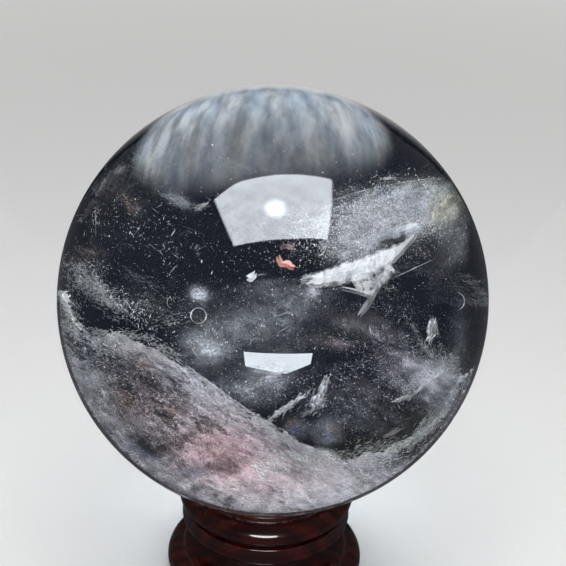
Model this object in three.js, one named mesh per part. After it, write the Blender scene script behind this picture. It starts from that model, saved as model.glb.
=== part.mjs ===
// A polished rock-crystal ball on a small turned hardwood ring stand.
//
// Millimetres, +Z up. The origin is on the surface that the stand rests on, below the middle of
// the ball. Every piece is round about the Z axis, so the stand and the soft rings are turned
// profiles: a list of [radius, height] points, run once round.
import * as THREE from "three";

// ---- driving dimensions ----
const ballRadius = 40;
const ballCentre = 63; // height of the ball's middle above the table
const restGap = 0.3; // left between pieces that lie on each other

const pad = { inner: 10, outer: 18, thickness: 1.5, bevel: 0.25, glueLine: 0.1 };
const felt = { inner: 8.8, outer: 12.2, thickness: 0.8 }; // the ring that the ball sits on

// The stand, from its base up. Each moulding is half an ellipse of the given radius (its reach)
// and halfHeight, about a middle at the given height; face is where it is widest.
const woodBase = pad.thickness + pad.glueLine;
const bore = { radius: 8, baseEasing: 0.5, topEasing: 0.4 }; // the hole right through
const foot = { face: 20, reach: 2.8, height: woodBase + 2.2, halfHeight: 2.3 };
const footStep = { radius: 16.7, height: 6.3, rise: 0.7, slope: 0.2 };
const waist = { radius: 12.4, reach: 3.8, height: 10.1, halfHeight: 2.9 };
const bandStep = { radius: 15.3, height: 12.7 };
const band = { face: 17, reach: 3.1, height: 14.6, halfHeight: 1.9 };
const bandEdge = { radius: 16.1, height: 16.6, rounding: 0.3 }; // crisp upper edge of the band
const groove = { radius: 15.2, height: 17.1, width: 0.4 }; // between band and bead
const bead = { face: 17.6, reach: 3.4, height: 19.8, halfHeight: 2.25 };
const lipNeck = { radius: 14.3, height: 22.9 };
const lip = { radius: 14.4, height: 23.2, rounding: 0.5 };
const lipTop = { radius: 12.9, height: 24.1 };
const dish = { inner: bore.radius + bore.topEasing, outer: 12.6, eased: 22.1 };
const dishDepth = felt.thickness + 2 * restGap; // from the ball's skin down to the wood

// ---- fineness ----
const roundSteps = 48;
const ballSteps = 28; // from pole to pole
const dishSteps = 4;

// Points of an ellipse's arc in [radius, height], from one angle to another, both in degrees.
function arc(r, z, halfWidth, halfHeight, from, to, steps) {
  return Array.from({ length: steps + 1 }, (_, i) => {
    const angle = THREE.MathUtils.degToRad(from + ((to - from) * i) / steps);
    return [r + halfWidth * Math.cos(angle), z + halfHeight * Math.sin(angle)];
  });
}

// A moulding that stands out to its face, as an arc.
function moulding(shape, from, to, steps) {
  const middle = shape.face - shape.reach;
  return arc(middle, shape.height, shape.reach, shape.halfHeight, from, to, steps);
}

// Points of a shell that lies this far outside the ball's skin, between two distances from Z.
function shell(outside, from, to) {
  return Array.from({ length: dishSteps + 1 }, (_, i) => {
    const radius = from + ((to - from) * i) / dishSteps;
    return [radius, ballCentre - Math.sqrt((ballRadius + outside) ** 2 - radius ** 2)];
  });
}

// A ring turned from a profile that goes anticlockwise: out along its underside, back on top.
function turned(name, profile, material) {
  const closed = [...profile, profile[0]].map(([r, z]) => new THREE.Vector2(r, z));
  const ring = new THREE.Mesh(new THREE.LatheGeometry(closed, roundSteps), material);
  ring.name = name;
  ring.rotation.x = Math.PI / 2; // the lathe turns about Y
  return ring;
}

// ---- the ball: one solid piece of quartz, ground and polished ----
function crystalBall() {
  const quartz = new THREE.MeshStandardMaterial({
    color: 0xe4e8ea,
    roughness: 0.02,
    metalness: 0,
    transparent: true,
    opacity: 0.35,
  });
  const sphere = new THREE.SphereGeometry(ballRadius, roundSteps, ballSteps);
  const ball = new THREE.Mesh(sphere, quartz);
  ball.name = "crystal_ball";
  ball.position.z = ballCentre;
  ball.rotation.x = Math.PI / 2; // its poles stand on the Z axis
  return ball;
}

// ---- the stand: one piece of hardwood, turned, bored through and lacquered ----
function turnedStand() {
  const lacquer = new THREE.MeshStandardMaterial({
    color: 0x3a0d08,
    roughness: 0.2,
    metalness: 0,
  });
  const waistMiddle = waist.radius + waist.reach;
  const profile = [
    [bore.radius + bore.baseEasing, woodBase],
    ...moulding(foot, -73, 84, 9),
    [footStep.radius, footStep.height],
    [footStep.radius - footStep.slope, footStep.height + footStep.rise],
    ...arc(waistMiddle, waist.height, waist.reach, waist.halfHeight, 250, 112, 8),
    [bandStep.radius, bandStep.height],
    ...moulding(band, -58, 25, 4),
    ...arc(bandEdge.radius, bandEdge.height, bandEdge.rounding, bandEdge.rounding, 0, 90, 3),
    [groove.radius, groove.height],
    [groove.radius, groove.height + groove.width],
    ...moulding(bead, -62, 86, 10),
    [lipNeck.radius, lipNeck.height],
    ...arc(lip.radius, lip.height, lip.rounding, lip.rounding, 0, 70, 3),
    [lipTop.radius, lipTop.height],
    ...shell(dishDepth, dish.outer, dish.inner),
    [bore.radius, dish.eased],
    [bore.radius, woodBase + bore.baseEasing],
  ];
  return turned("turned_stand", profile, lacquer);
}

// ---- the seat ring: thin felt that lies loose in the dish and turns with the ball ----
function seatRing() {
  const blackFelt = new THREE.MeshStandardMaterial({
    color: 0x1d1614,
    roughness: 0.95,
    metalness: 0,
  });
  const profile = [
    ...shell(restGap + felt.thickness, felt.inner, felt.outer),
    ...shell(restGap, felt.outer, felt.inner),
  ];
  return turned("seat_ring", profile, blackFelt);
}

// ---- the foot pad: a flat felt ring glued under the stand ----
function footPad() {
  const greyFelt = new THREE.MeshStandardMaterial({
    color: 0x22201f,
    roughness: 0.95,
    metalness: 0,
  });
  const profile = [
    [pad.inner, 0],
    [pad.outer - pad.bevel, 0],
    [pad.outer, pad.bevel],
    [pad.outer, pad.thickness],
    [pad.inner, pad.thickness],
  ];
  return turned("foot_pad", profile, greyFelt);
}

const crystalBallOnStand = new THREE.Group();
crystalBallOnStand.add(crystalBall(), turnedStand(), seatRing(), footPad());

export default crystalBallOnStand;
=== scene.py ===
import math

import bpy
import numpy as np
from mathutils import Matrix, Vector


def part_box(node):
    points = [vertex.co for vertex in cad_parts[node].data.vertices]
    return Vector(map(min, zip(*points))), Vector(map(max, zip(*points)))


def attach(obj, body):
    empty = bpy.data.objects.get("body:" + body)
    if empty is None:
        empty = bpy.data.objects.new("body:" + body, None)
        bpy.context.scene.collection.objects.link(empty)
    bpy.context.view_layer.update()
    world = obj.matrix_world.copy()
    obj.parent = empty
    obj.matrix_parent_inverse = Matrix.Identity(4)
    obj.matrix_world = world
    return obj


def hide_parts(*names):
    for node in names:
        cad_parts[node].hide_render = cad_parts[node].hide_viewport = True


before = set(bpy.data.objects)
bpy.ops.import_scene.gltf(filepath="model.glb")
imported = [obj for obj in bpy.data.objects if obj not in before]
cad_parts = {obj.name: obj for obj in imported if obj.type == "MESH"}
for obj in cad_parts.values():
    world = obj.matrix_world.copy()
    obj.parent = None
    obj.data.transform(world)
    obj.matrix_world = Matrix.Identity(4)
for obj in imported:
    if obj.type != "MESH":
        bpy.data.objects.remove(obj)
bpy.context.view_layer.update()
scene = bpy.context.scene

ballLow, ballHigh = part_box("crystal_ball")
ballCentre = np.array((ballLow + ballHigh) / 2)
ballRadius = (ballHigh.z - ballLow.z) / 2
mm = 0.001
quartz = {
    "ior": 1.544,
    "tint": (0.985, 0.992, 1.0, 1),
    "shadowTint": (0.86, 0.88, 0.9, 1),  # what light keeps each time it passes the skin
    "smears": 0.012,  # roughness where fingers have been
}


# each vector divided by its own length
def unit(v):
    return v / np.linalg.norm(v, axis=-1, keepdims=True)


# value noise from 0 to 1: random heights on a lattice, blended smoothly between its eight corners
def noise(points, scale, seed):
    table = np.random.default_rng(seed).random((64, 64, 64))
    p = np.asarray(points) * scale
    cell = np.floor(p).astype(int)
    t = p - cell
    t = t * t * (3 - 2 * t)
    total = 0.0
    for corner in np.ndindex(2, 2, 2):
        weight = np.prod(np.where(corner, t, 1 - t), axis=-1)
        i = (cell + np.array(corner)) % 64
        total = total + weight * table[i[..., 0], i[..., 1], i[..., 2]]
    return total


# the same noise at doubled scales, each half as strong
def roughNoise(points, scale, seed, octaves=4):
    total = 0.0
    share = 0.0
    for k in range(octaves):
        total = total + noise(points, scale * 2**k, seed + k) * 0.5**k
        share += 0.5**k
    return total / share


# 0 below low, 1 above high, and 3tt - 2ttt between them, with t running from 0 to 1
def smooth(low, high, x):
    t = np.clip((x - low) / (high - low), 0, 1)
    return t * t * (3 - 2 * t)


# A smooth curve through given points, sampled at t from 0 to 1: between two points it is
# the cubic whose slope at each is half the step from its neighbour before to the one after.
def through(points, t):
    points = np.asarray(points, float)
    last = len(points) - 1
    x = np.clip(t, 0, 1) * last
    i = np.minimum(x.astype(int), last - 1)
    f = (x - i)[:, None]
    a = points[np.maximum(i - 1, 0)]
    b = points[i]
    c = points[i + 1]
    d = points[np.minimum(i + 2, last)]
    return b + 0.5 * f * (c - a + f * (2 * a - 5 * b + 4 * c - d + f * (3 * (b - c) + d - a)))


def makeMesh(name, vertices, faces, material, smoothShaded=True):
    mesh = bpy.data.meshes.new(name)
    vertices = np.asarray(vertices, np.float32).reshape(-1, 3)
    faces = np.asarray(faces, np.int32)
    sides = faces.shape[1]
    mesh.vertices.add(len(vertices))
    mesh.vertices.foreach_set("co", vertices.ravel())
    mesh.loops.add(faces.size)
    mesh.loops.foreach_set("vertex_index", faces.ravel())
    mesh.polygons.add(len(faces))
    mesh.polygons.foreach_set("loop_start", np.arange(0, faces.size, sides, dtype=np.int32))
    mesh.update(calc_edges=True)
    mesh.validate()
    if smoothShaded:
        mesh.shade_smooth()
    else:
        mesh.shade_flat()
    mesh.materials.append(material)
    piece = bpy.data.objects.new(name, mesh)
    scene.collection.objects.link(piece)
    return piece


def addAttribute(piece, name, values):
    attribute = piece.data.attributes.new(name, "FLOAT", "POINT")
    attribute.data.foreach_set("value", np.asarray(values, np.float32).ravel())


def addColours(piece, name, colours):
    attribute = piece.data.attributes.new(name, "FLOAT_COLOR", "POINT")
    full = np.hstack([colours, np.ones((len(colours), 1))])
    attribute.data.foreach_set("color", full.astype(np.float32).ravel())


camera = {
    "elevation": 28.0,  # degrees above the level
    "distance": 6.0,  # from the ball's middle, in ball radii
    "lean": 2.0,  # degrees that the upright leans to the right
    "halfFrame": 1.31,  # half the picture's side, in radii of the ball as seen
    "ballLeft": 0.046,  # the ball's place off the picture's middle, in the same radii
    "ballBelow": 0.079,
}
rise = math.radians(camera["elevation"])
lean = math.radians(camera["lean"])
toCamera = np.array([0, -math.cos(rise), math.sin(rise)])
levelUp = np.array([0, math.sin(rise), math.cos(rise)])
levelRight = np.array([1.0, 0, 0])
seenRight = math.cos(lean) * levelRight + math.sin(lean) * levelUp
seenUp = math.cos(lean) * levelUp - math.sin(lean) * levelRight
eye = ballCentre + toCamera * camera["distance"] * ballRadius
seenRadius = math.tan(math.asin(1 / camera["distance"]))  # the ball's edge, as a slope from the axis


def makeCamera():
    data = bpy.data.cameras.new("camera")
    data.sensor_width = 36
    data.lens = data.sensor_width / 2 / (camera["halfFrame"] * seenRadius)
    aim = unit(-toCamera + seenRadius * (camera["ballLeft"] * seenRight + camera["ballBelow"] * seenUp))
    right = unit(np.cross(aim, seenUp))
    up = np.cross(right, aim)
    rig = bpy.data.objects.new("camera", data)
    rig.matrix_world = Matrix([[right[i], up[i], -aim[i], eye[i]] for i in range(3)] + [[0, 0, 0, 1]])
    data.clip_start = 0.01
    scene.collection.objects.link(rig)
    scene.camera = rig


# The point inside the ball that shows at a place on its face, in radii across and up as seen.
# The line of sight meets the ball, bends by Snell's law and runs to the far side; depth is the
# share of that run, from 0 at the near skin to 1 at the far one.
def inside(across, up, depth):
    across, up, depth = np.broadcast_arrays(across, up, depth)
    size = np.maximum(np.hypot(across, up) / 0.992, 1)
    slope = seenRadius * (np.multiply.outer(across / size, seenRight) + np.multiply.outer(up / size, seenUp))
    sight = unit(slope - toCamera)
    reach = eye - ballCentre
    half = sight @ reach
    run = -half - np.sqrt(np.maximum(half**2 - reach @ reach + ballRadius**2, 0))
    skin = reach + run[..., None] * sight
    normal = skin / ballRadius
    facing = -np.sum(sight * normal, axis=-1, keepdims=True)
    ior = quartz["ior"]
    bent = np.sqrt(1 - (1 - facing**2) / ior**2)
    inward = sight / ior + (facing / ior - bent) * normal
    chord = 2 * ballRadius * bent
    return ballCentre + skin + inward * chord * depth[..., None]


def newMaterial(name):
    material = bpy.data.materials.new(name)
    material.use_nodes = True
    nodes = material.node_tree.nodes
    nodes.clear()
    output = nodes.new("ShaderNodeOutputMaterial")
    shader = nodes.new("ShaderNodeBsdfPrincipled")
    material.node_tree.links.new(shader.outputs[0], output.inputs["Surface"])
    return material, nodes, material.node_tree.links, shader, output


def newGroup(name, inputs, outputs):
    tree = bpy.data.node_groups.new(name, "ShaderNodeTree")
    for label, kind, value in inputs:
        socket = tree.interface.new_socket(label, in_out="INPUT", socket_type=kind)
        if value is not None:
            socket.default_value = value
    for label, kind in outputs:
        tree.interface.new_socket(label, in_out="OUTPUT", socket_type=kind)
    return tree, tree.nodes, tree.links, tree.nodes.new("NodeGroupInput"), tree.nodes.new("NodeGroupOutput")


def placeGroup(nodes, tree):
    node = nodes.new("ShaderNodeGroup")
    node.node_tree = tree
    return node


def objectPlace(nodes):
    return nodes.new("ShaderNodeTexCoord").outputs["Object"]


def mapNode(nodes):
    node = nodes.new("ShaderNodeUVMap")
    node.uv_map = "map"
    return node.outputs[0]


def attributeNode(nodes, name):
    node = nodes.new("ShaderNodeAttribute")
    node.attribute_name = name
    return node


def lengthNode(nodes, links, vector):
    node = nodes.new("ShaderNodeVectorMath")
    node.operation = "LENGTH"
    links.new(vector, node.inputs[0])
    return node.outputs["Value"]


def splitNode(nodes, links, vector):
    node = nodes.new("ShaderNodeSeparateXYZ")
    links.new(vector, node.inputs[0])
    return node.outputs


# one shader for rays of the named kind and the usual one for all others
def pickByRay(nodes, links, output, ray, usual, other):
    pick = nodes.new("ShaderNodeMixShader")
    links.new(ray, pick.inputs[0])
    links.new(usual.outputs[0], pick.inputs[1])
    links.new(other.outputs[0], pick.inputs[2])
    links.new(pick.outputs[0], output.inputs["Surface"])


def noiseNode(nodes, links, vector, scale, detail=4.0, roughness=0.55):
    node = nodes.new("ShaderNodeTexNoise")
    node.inputs["Scale"].default_value = scale
    node.inputs["Detail"].default_value = detail
    node.inputs["Roughness"].default_value = roughness
    links.new(vector, node.inputs["Vector"])
    return node.outputs["Fac"]


def stretchNode(nodes, links, vector, scale):
    node = nodes.new("ShaderNodeMapping")
    node.inputs["Scale"].default_value = scale
    links.new(vector, node.inputs["Vector"])
    return node.outputs["Vector"]


def mathNode(nodes, links, operation, a, b, clamp=False):
    node = nodes.new("ShaderNodeMath")
    node.operation = operation
    node.use_clamp = clamp
    for i, value in enumerate((a, b)):
        if isinstance(value, (int, float)):
            node.inputs[i].default_value = value
        else:
            links.new(value, node.inputs[i])
    return node.outputs[0]


def rangeNode(nodes, links, value, low, high, outLow=0.0, outHigh=1.0):
    node = nodes.new("ShaderNodeMapRange")
    node.interpolation_type = "SMOOTHSTEP"
    for label, number in (("From Min", low), ("From Max", high), ("To Min", outLow), ("To Max", outHigh)):
        node.inputs[label].default_value = number
    links.new(value, node.inputs["Value"])
    return node.outputs[0]


def mixNode(nodes, links, share, a, b):
    node = nodes.new("ShaderNodeMix")
    node.data_type = "RGBA"
    links.new(share, node.inputs[0])
    for i, value in ((6, a), (7, b)):
        if isinstance(value, tuple):
            node.inputs[i].default_value = (*value, 1)
        else:
            links.new(value, node.inputs[i])
    return node.outputs[2]


def bumpNode(nodes, links, height, strength, distance):
    node = nodes.new("ShaderNodeBump")
    node.inputs["Strength"].default_value = strength
    node.inputs["Distance"].default_value = distance
    links.new(height, node.inputs["Height"])
    return node.outputs[0]


# streaks, grains and soft clouds over a surface's own map, which is in millimetres
def streakGroup():
    tree, nodes, links, into, out = newGroup(
        "streaks",
        [("Vector", "NodeSocketVector", None)],
        [("Streak", "NodeSocketFloat"), ("Grain", "NodeSocketFloat"), ("Cloud", "NodeSocketFloat")],
    )
    drawn = stretchNode(nodes, links, into.outputs[0], (0.6, 3.6, 1))
    links.new(noiseNode(nodes, links, drawn, 1.0, 5, 0.65), out.inputs["Streak"])
    links.new(noiseNode(nodes, links, into.outputs[0], 2.8, 5, 0.85), out.inputs["Grain"])
    links.new(noiseNode(nodes, links, into.outputs[0], 0.55, 6, 0.65), out.inputs["Cloud"])
    return tree


streaks = streakGroup()


def quartzMaterial():
    material, nodes, links, shader, output = newMaterial("rockCrystal")
    shader.inputs["Base Color"].default_value = quartz["tint"]
    shader.inputs["IOR"].default_value = quartz["ior"]
    shader.inputs["Transmission Weight"].default_value = 1
    place = objectPlace(nodes)
    handling = noiseNode(nodes, links, place, 60, 6, 0.7)  # faint smears left by fingers
    smears = rangeNode(nodes, links, handling, 0.58, 0.85, 0.0, quartz["smears"])
    links.new(smears, shader.inputs["Roughness"])
    clear = nodes.new("ShaderNodeBsdfTransparent")
    clear.inputs["Color"].default_value = quartz["shadowTint"]
    path = nodes.new("ShaderNodeLightPath")
    pickByRay(nodes, links, output, path.outputs["Is Shadow Ray"], shader, clear)
    return material


hazeLooks = {
    "mistyHaze": {"streaky": 0.7, "grainy": 0.9, "cloudy": 0.35, "roughness": 0.6, "relief": 1.0},
    "softHaze": {"streaky": 0.3, "grainy": 0.45, "cloudy": 0.35, "roughness": 0.6, "relief": 0.4},
    "frostedCrack": {"streaky": 0.1, "grainy": 0.25, "cloudy": 0.1, "roughness": 0.5, "relief": 0.15},
}


# Haze inside the stone. How dense it is comes from the sheet's own "haze" attribute and its
# colour from "tone"; streaks, grains and clouds break both up.
def hazeMaterial(name, streaky, grainy, cloudy, roughness, relief):
    material, nodes, links, shader, output = newMaterial(name)
    haze = attributeNode(nodes, "haze")
    tone = attributeNode(nodes, "tone")
    pattern = placeGroup(nodes, streaks)
    links.new(mapNode(nodes), pattern.inputs["Vector"])
    amount = haze.outputs["Fac"]
    for label, low, high, strength in (
        ("Streak", 0.38, 0.64, streaky),
        ("Grain", 0.42, 0.60, grainy),
        ("Cloud", 0.34, 0.66, cloudy),
    ):
        share = rangeNode(nodes, links, pattern.outputs[label], low, high, 1 - strength, 1 + strength)
        amount = mathNode(nodes, links, "MULTIPLY", amount, share, clamp=label == "Cloud")
    links.new(amount, shader.inputs["Alpha"])
    faded = nodes.new("ShaderNodeHueSaturation")
    faded.inputs["Saturation"].default_value = 0.6
    faded.inputs["Value"].default_value = 0.8
    links.new(tone.outputs["Color"], faded.inputs["Color"])
    patchy = rangeNode(nodes, links, pattern.outputs["Streak"], 0.4, 0.6)
    mixed = mixNode(nodes, links, patchy, tone.outputs["Color"], faded.outputs[0])
    links.new(mixed, shader.inputs["Base Color"])
    links.new(bumpNode(nodes, links, pattern.outputs["Grain"], relief, 0.0004), shader.inputs["Normal"])
    shader.inputs["Roughness"].default_value = roughness
    return material


# small solid bits: each carries its own "tone", a little uneven from bit to bit and along it
def bitMaterial():
    material, nodes, links, shader, output = newMaterial("paleBits")
    place = objectPlace(nodes)
    patch = rangeNode(nodes, links, noiseNode(nodes, links, place, 1500, 2, 0.5), 0.4, 0.6)
    tone = attributeNode(nodes, "tone")
    dulled = nodes.new("ShaderNodeHueSaturation")
    dulled.inputs["Value"].default_value = 0.6
    links.new(tone.outputs["Color"], dulled.inputs["Color"])
    mixed = mixNode(nodes, links, patch, tone.outputs["Color"], dulled.outputs[0])
    links.new(mixed, shader.inputs["Base Color"])
    shader.inputs["Roughness"].default_value = 0.35
    return material


def woodGroup():
    tree, nodes, links, into, out = newGroup(
        "rosewoodGrain",
        [("Vector", "NodeSocketVector", None)],
        [("Figure", "NodeSocketFloat"), ("Pores", "NodeSocketFloat")],
    )
    rings = nodes.new("ShaderNodeTexWave")
    rings.bands_direction = "Y"
    for label, number in (("Scale", 95.0), ("Distortion", 3.0), ("Detail", 5.0), ("Detail Scale", 1.4)):
        rings.inputs[label].default_value = number
    links.new(stretchNode(nodes, links, into.outputs[0], (0.25, 1, 0.8)), rings.inputs["Vector"])
    links.new(rings.outputs["Fac"], out.inputs["Figure"])
    along = stretchNode(nodes, links, into.outputs[0], (520, 5200, 5200))
    fine = noiseNode(nodes, links, along, 1.0, 2, 0.5)
    links.new(rangeNode(nodes, links, fine, 0.66, 0.74), out.inputs["Pores"])
    return tree


lacquer = {
    "dark": (0.004, 0.0006, 0.0005),
    "light": (0.024, 0.0022, 0.0013),
    "blotch": (0.009, 0.001, 0.0007),
    "pore": (0.012, 0.002, 0.0015),
    "rubbed": (0.075, 0.012, 0.007),
    "dust": (0.13, 0.1, 0.09),
    "rubbedShare": 0.55,  # how far the edges have gone over to it
    "dustShare": 0.2,
    "roughness": (0.2, 0.34),
    "coatRoughness": 0.05,
}


# dark rosewood under a clear coat: paler where edges are rubbed, dusty and duller in the hollows
def lacquerMaterial():
    material, nodes, links, shader, output = newMaterial("lacqueredRosewood")
    place = objectPlace(nodes)
    wood = placeGroup(nodes, woodGroup())
    links.new(place, wood.inputs["Vector"])
    edge = attributeNode(nodes, "edge").outputs["Fac"]
    hollow = attributeNode(nodes, "hollow").outputs["Fac"]
    pores = wood.outputs["Pores"]
    blotch = rangeNode(nodes, links, noiseNode(nodes, links, place, 110, 5, 0.6), 0.35, 0.7)
    patchy = rangeNode(nodes, links, noiseNode(nodes, links, place, 900, 4, 0.6), 0.42, 0.62)
    rubbed = mathNode(nodes, links, "MULTIPLY", edge, patchy)
    rubbed = mathNode(nodes, links, "MULTIPLY", rubbed, lacquer["rubbedShare"])
    dust = mathNode(nodes, links, "MULTIPLY", hollow, patchy)
    dust = mathNode(nodes, links, "MULTIPLY", dust, lacquer["dustShare"])
    base = mixNode(nodes, links, wood.outputs["Figure"], lacquer["dark"], lacquer["light"])
    for share, label in ((blotch, "blotch"), (pores, "pore"), (rubbed, "rubbed"), (dust, "dust")):
        base = mixNode(nodes, links, share, base, lacquer[label])
    links.new(base, shader.inputs["Base Color"])
    rough = noiseNode(nodes, links, place, 260, 4, 0.6)
    links.new(rangeNode(nodes, links, rough, 0.3, 0.75, *lacquer["roughness"]), shader.inputs["Roughness"])
    gloss = mathNode(nodes, links, "SUBTRACT", 1.0, mathNode(nodes, links, "MULTIPLY", pores, 0.8))
    dulled = mathNode(nodes, links, "MULTIPLY", dust, 1.5)
    links.new(mathNode(nodes, links, "SUBTRACT", gloss, dulled, clamp=True), shader.inputs["Coat Weight"])
    shader.inputs["Coat Roughness"].default_value = lacquer["coatRoughness"]
    shader.inputs["Specular IOR Level"].default_value = 0.1
    shader.inputs["Coat IOR"].default_value = 1.5
    depth = mathNode(nodes, links, "SUBTRACT", 1.0, pores)
    links.new(bumpNode(nodes, links, depth, 0.5, 0.00006), shader.inputs["Normal"])
    return material


# matted fibres, drawn out one way, that tint the felt and roughen it
def feltMaterial(name, dark, light):
    material, nodes, links, shader, output = newMaterial(name)
    drawn = stretchNode(nodes, links, objectPlace(nodes), (4200, 1500, 4200))
    fibres = noiseNode(nodes, links, drawn, 1.0, 5, 0.7)
    share = rangeNode(nodes, links, fibres, 0.35, 0.65)
    links.new(mixNode(nodes, links, share, dark, light), shader.inputs["Base Color"])
    links.new(bumpNode(nodes, links, fibres, 0.9, 0.0002), shader.inputs["Normal"])
    shader.inputs["Roughness"].default_value = 0.95
    shader.inputs["Sheen Weight"].default_value = 0.35
    shader.inputs["Sheen Roughness"].default_value = 0.5
    return material


studio = {
    "softboxHeight": 0.45,  # above the ball's middle
    "softboxSize": (0.44, 0.305),
    "softboxPlace": (-0.003, -0.141),  # of its middle, across and back from the ball's
    "softboxTurn": 9.0,  # degrees
    "softboxPower": 3.9,
    "faceGlow": 13.5,  # its face as polished things reflect it
    "bulbGlow": 13.0,  # added where the bulb shows through the cloth
    "bulbSize": 0.12,
    "surroundSeen": 0.62,  # the surround's brightness to each kind of ray
    "surroundLight": 0.22,
    "surroundGlossy": 0.07,
    "surroundThroughGlass": 0.012,
    "floorTone": (0.62, 0.62, 0.615),
    # painted light: the floor itself glows to the camera, though it is no lamp
    "farFloorGlow": 0.5,  # stands in for lights further off, so that the floor meets the surround
    "floorInGloss": (0.04, 0.04, 0.045),
    "floorThroughGlass": (0.008, 0.010, 0.017),  # the stone is shown against a dark ground
    # glowPlace to glowBlue: a painted pool of light in the floor's colour, seen only through the stone
    "glowPlace": (0.005, 0.046),  # soft light on the floor that the top of the ball gathers
    "glowSize": (0.028, 0.045),
    "glowPale": (0.82, 0.85, 0.86),
    "glowBlue": (0.52, 0.61, 0.71),
    "standLampPlace": (-0.005, -0.26, 0.26),  # a small lamp that only lights the lacquer
    "standLampSize": (0.18, 0.15),
    "standLampPower": 1.15,
    "rimCardGlow": 0.75,
    "rimCardReach": (0.15, 1.2),  # how far behind the ball's axis it starts and ends
    "rimCardHeight": 0.3,
}


# The floor is pale paper. To the camera it also glows, more further off: painted light that stands in for
# lights further off. Seen through the stone it is a dark ground with one soft patch of painted light, which
# keeps the stone as clear and deep as it is on black cloth.
def floorMaterial():
    material, nodes, links, shader, output = newMaterial("paleFloor")
    place = objectPlace(nodes)
    path = nodes.new("ShaderNodeLightPath")
    tone = mixNode(nodes, links, path.outputs["Is Glossy Ray"], studio["floorTone"], studio["floorInGloss"])
    links.new(tone, shader.inputs["Base Color"])
    shader.inputs["Roughness"].default_value = 0.75
    # painted light: to the camera alone the floor glows, more the further it is from the middle
    paler = rangeNode(nodes, links, lengthNode(nodes, links, place), 0.05, 0.8, 0.0, studio["farFloorGlow"])
    paler = mathNode(nodes, links, "MULTIPLY", paler, path.outputs["Is Camera Ray"])
    links.new(paler, shader.inputs["Emission Strength"])
    shader.inputs["Emission Color"].default_value = (1, 1, 0.99, 1)
    tooth = noiseNode(nodes, links, place, 1400, 3, 0.6)
    links.new(bumpNode(nodes, links, tooth, 0.15, 0.0001), shader.inputs["Normal"])
    # the painted pool of light, seen only through the stone: soft at its rim, streaked by folds and brighter
    # towards the ball
    patch = nodes.new("ShaderNodeMapping")
    patch.vector_type = "TEXTURE"
    patch.inputs["Location"].default_value = (*studio["glowPlace"], 0)
    patch.inputs["Scale"].default_value = (*studio["glowSize"], 1)
    links.new(place, patch.inputs["Vector"])
    soft = rangeNode(nodes, links, lengthNode(nodes, links, patch.outputs[0]), 1.0, 0.78)
    drawn = stretchNode(nodes, links, place, (400, 55, 1))
    folds = rangeNode(nodes, links, noiseNode(nodes, links, drawn, 1.0, 6, 0.5), 0.3, 0.7, 0.42, 1.0)
    back = splitNode(nodes, links, patch.outputs[0])["Y"]
    near = rangeNode(nodes, links, back, 0.85, -0.25, 0.25, 1.08)
    soft = mathNode(nodes, links, "MULTIPLY", soft, folds)
    soft = mathNode(nodes, links, "MULTIPLY", soft, near)
    ground = nodes.new("ShaderNodeBsdfDiffuse")
    hue = rangeNode(nodes, links, noiseNode(nodes, links, drawn, 0.6, 3, 0.5), 0.3, 0.7)
    glow = mixNode(nodes, links, hue, studio["glowBlue"], studio["glowPale"])
    links.new(mixNode(nodes, links, soft, studio["floorThroughGlass"], glow), ground.inputs["Color"])
    pickByRay(nodes, links, output, path.outputs["Is Transmission Ray"], shader, ground)
    return material


def glowMaterial(name, colour=(1, 1, 1)):
    material, nodes, links, shader, output = newMaterial(name)
    nodes.remove(shader)
    light = nodes.new("ShaderNodeEmission")
    light.inputs["Color"].default_value = (*colour, 1)
    links.new(light.outputs[0], output.inputs["Surface"])
    return material, nodes, links, light


# the softbox's face: even, soft at its edges, and brighter where the bulb is behind it
def softboxFaceMaterial():
    material, nodes, links, light = glowMaterial("softboxFace", (0.88, 0.94, 1.0))
    place = mapNode(nodes)
    split = splitNode(nodes, links, place)
    edge = 1.0
    for axis in ("X", "Y"):
        side = mathNode(nodes, links, "ABSOLUTE", split[axis], 0.0)
        edge = mathNode(nodes, links, "MULTIPLY", edge, rangeNode(nodes, links, side, 1.0, 0.93))
    sideways = mathNode(nodes, links, "MULTIPLY", split["X"], -0.45)
    back = mathNode(nodes, links, "MULTIPLY", split["Y"], 0.89)
    corner = mathNode(nodes, links, "ADD", sideways, back)  # its far left corner is cut off
    edge = mathNode(nodes, links, "MULTIPLY", edge, rangeNode(nodes, links, corner, 1.12, 1.05))
    wide, deep = studio["softboxSize"]
    reach = lengthNode(nodes, links, stretchNode(nodes, links, place, (wide / 2, deep / 2, 1)))
    size = studio["bulbSize"]
    bulb = rangeNode(nodes, links, reach, size * 0.45, size * 0.15, 0.0, studio["bulbGlow"])
    weave = noiseNode(nodes, links, place, 3, 3, 0.6)
    cloth = rangeNode(nodes, links, weave, 0.3, 0.7, 0.86, 1.08)
    glow = mathNode(nodes, links, "MULTIPLY", cloth, studio["faceGlow"])
    glow = mathNode(nodes, links, "MULTIPLY", mathNode(nodes, links, "ADD", glow, bulb), edge)
    links.new(glow, light.inputs["Strength"])
    return material


def makeFloor():
    half = 3.0
    corners = [[-half, -half, 0], [half, -half, 0], [half, half, 0], [-half, half, 0]]
    makeMesh("floor", corners, [[0, 1, 2, 3]], floorMaterial())


def areaLamp(name, shape, size, power, place):
    lamp = bpy.data.lights.new(name, "AREA")
    lamp.shape = shape
    lamp.size, lamp.size_y = size
    lamp.energy = power
    rig = bpy.data.objects.new(name, lamp)
    rig.location = place
    rig.visible_camera = rig.visible_transmission = False
    scene.collection.objects.link(rig)
    return rig


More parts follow.
